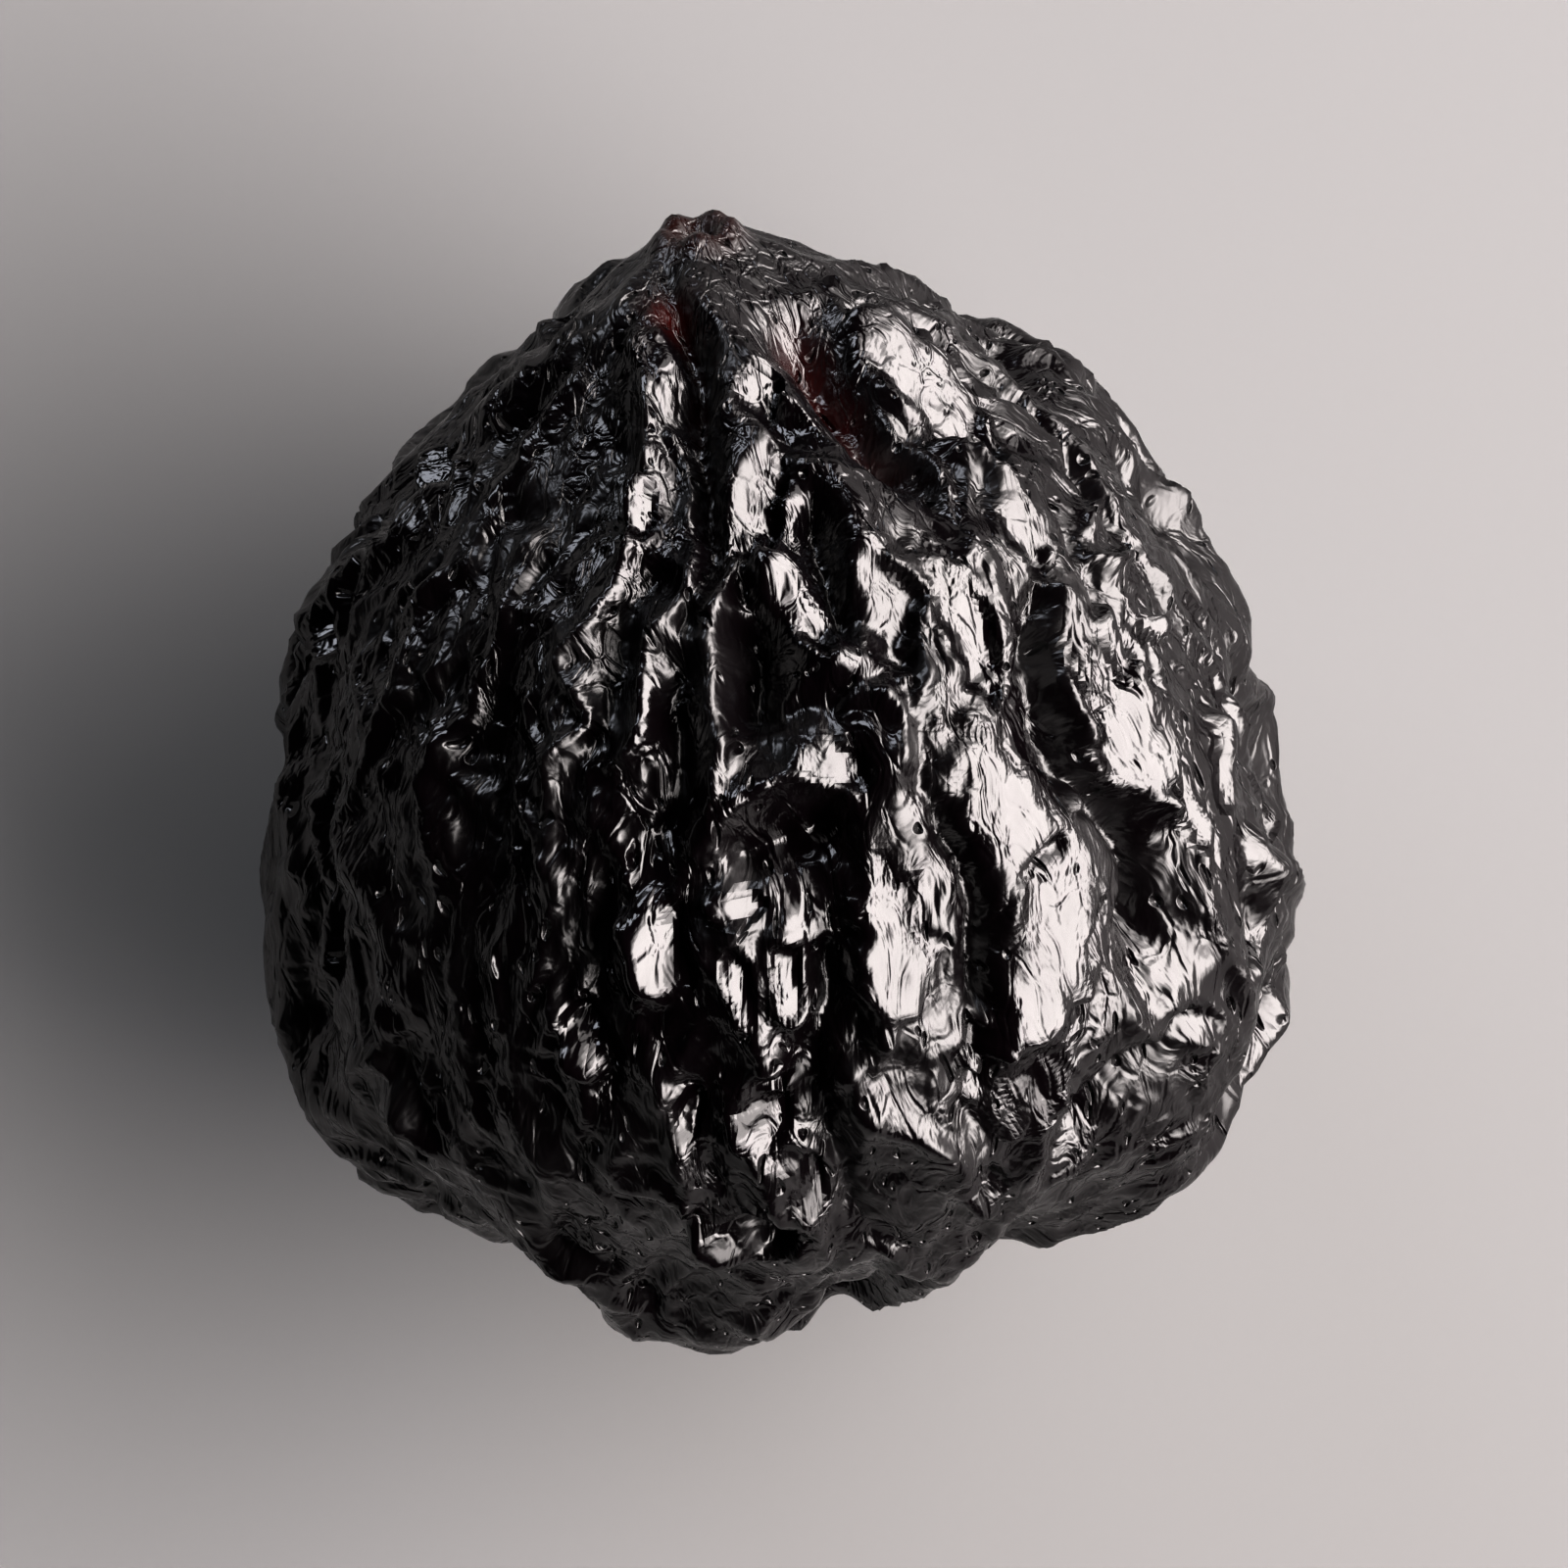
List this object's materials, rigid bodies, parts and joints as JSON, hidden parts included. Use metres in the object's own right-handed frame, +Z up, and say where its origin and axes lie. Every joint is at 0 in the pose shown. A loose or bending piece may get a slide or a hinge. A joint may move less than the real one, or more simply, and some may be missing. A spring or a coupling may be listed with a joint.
{
  "type": "dried aronia berry",
  "caption": "Whole dried aronia berry: a small wrinkled near-black fruit, rounded with a puckered calyx tip, lying on its side on a small flat spot.",
  "frame": {"origin": "centre of the bounding box at the surface the berry lies on", "axes": "+Z up from the surface it lies on, +Y along the berry towards its calyx tip, +X across it to the right when it is seen from above with the tip pointing away"},
  "size_m": [0.0092, 0.01, 0.0081],
  "materials": {
    "berry_skin": "oily gloss, near-black dried fruit skin with dark red in the thin places"
  },
  "bodies": {
    "root": {"berry": "berry_skin"}
  },
  "joints": []
}
